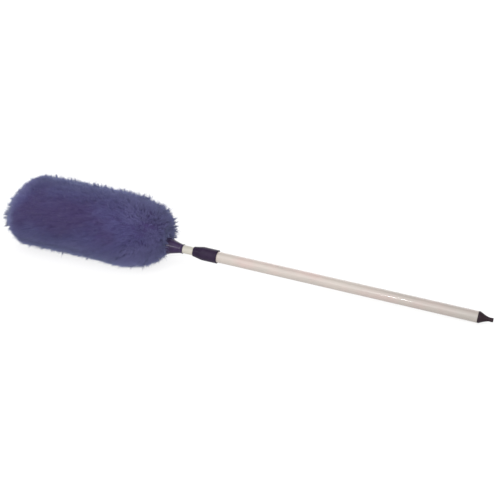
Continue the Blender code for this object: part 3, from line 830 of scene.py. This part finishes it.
def make_wool():
    make_wool_body(wool_look("wool_mass", 0.3))
    material = wool_look("wool_fibre", 0.2)
    centre, facing, angle, tone, dye_and_painted_light = grow_fibres()
    pieces = np.array_split(np.argsort(angle, kind="stable"), WOOL_PIECES)
    for number, chosen in enumerate(pieces, 1):
        name = f"wool_locks_{number}"
        mesh = fibre_mesh(name, centre[chosen], facing[chosen], tone[chosen], dye_and_painted_light[chosen])
        add_piece(name, mesh, material, "inner_pole")


# ---- Studio ----


def from_middle(azimuth, elevation, distance):
    """The point at that direction and distance from the middle of the floor."""
    azimuth, elevation = math.radians(azimuth), math.radians(elevation)
    level = distance * math.cos(elevation)
    return Vector(
        (level * math.sin(azimuth), -level * math.cos(azimuth), distance * math.sin(elevation))
    )


def add_light(name, place, size, power):
    """A round softbox that faces the middle of the floor."""
    light = bpy.data.lights.new(name, "AREA")
    light.shape, light.size, light.energy = "DISK", size, power
    lamp = bpy.data.objects.new(name, light)
    lamp.location = place
    lamp.rotation_euler = (-place).to_track_quat("-Z", "Y").to_euler()
    bpy.context.scene.collection.objects.link(lamp)


def make_surroundings():
    """White walls all round, under a dimmer ceiling."""
    wall, ceiling = 0.98, 0.50
    world = bpy.data.worlds.new("white_walls")
    world.use_nodes = True
    nodes, links = world.node_tree.nodes, world.node_tree.links
    direction = nodes.new("ShaderNodeTexCoord").outputs["Generated"]
    parts = nodes.new("ShaderNodeSeparateXYZ")
    links.new(direction, parts.inputs["Vector"])
    rise = nodes.new("ShaderNodeMapRange")
    rise.interpolation_type = "SMOOTHSTEP"
    rise.inputs["From Min"].default_value = math.sin(math.radians(14))
    rise.inputs["From Max"].default_value = math.sin(math.radians(40))
    rise.inputs["To Min"].default_value, rise.inputs["To Max"].default_value = wall, ceiling
    links.new(parts.outputs["Z"], rise.inputs["Value"])
    background = nodes["Background"].inputs
    background["Color"].default_value = (1, 1, 1, 1)
    links.new(rise.outputs["Result"], background["Strength"])
    return world


def add_sun(name, azimuth, elevation, spread, strength):
    """A distant softbox that is spread degrees across."""
    light = bpy.data.lights.new(name, "SUN")
    light.angle, light.energy = math.radians(spread), strength
    lamp = bpy.data.objects.new(name, light)
    way = from_middle(azimuth, elevation, 1)
    lamp.rotation_euler = way.to_track_quat("Z", "Y").to_euler()
    bpy.context.scene.collection.objects.link(lamp)


def make_studio():
    scene = bpy.context.scene
    scene.view_settings.view_transform = "Standard"
    scene.world = make_surroundings()
    floor_mesh = bpy.data.meshes.new("floor")
    corners = ((-1, -1), (1, -1), (1, 1), (-1, 1))
    points = [(x * FLOOR_REACH, y * FLOOR_REACH, 0) for x, y in corners]
    floor_mesh.from_pydata(points, [], [(0, 1, 2, 3)])
    floor_mesh.materials.append(floor_look())
    floor = bpy.data.objects.new("floor", floor_mesh)
    scene.collection.objects.link(floor)
    add_sun("key_light", CAMERA_AZIMUTH - 2, 45, 80, 2.6)
    add_sun("back_fill", CAMERA_AZIMUTH + 165, 22, 60, 1.3)
    add_light("highlight_softbox", from_middle(CAMERA_AZIMUTH - 14, 32, 1.6), 0.12, 5.0)
    add_light("left_softbox", from_middle(CAMERA_AZIMUTH - 70, 32, 1.6), 0.3, 2.5)


def make_camera():
    """Sets the camera by the direction it looks in and by how far the object is off its centre."""
    back = from_middle(CAMERA_AZIMUTH, CAMERA_ELEVATION, 1)
    right = Vector((0, 0, 1)).cross(back).normalized()
    up = back.cross(right)
    data = bpy.data.cameras.new("camera")
    data.lens, data.sensor_width = LENS, SENSOR_WIDTH
    camera = bpy.data.objects.new("camera", data)
    camera.location = right * CAMERA_RIGHT + up * CAMERA_UP + back * CAMERA_DISTANCE
    camera.rotation_euler = (-back).to_track_quat("-Z", "Y").to_euler()
    bpy.context.scene.collection.objects.link(camera)
    bpy.context.scene.camera = camera


make_camera()
make_pole()
dress_hidden_nodes()
make_wool()
make_studio()
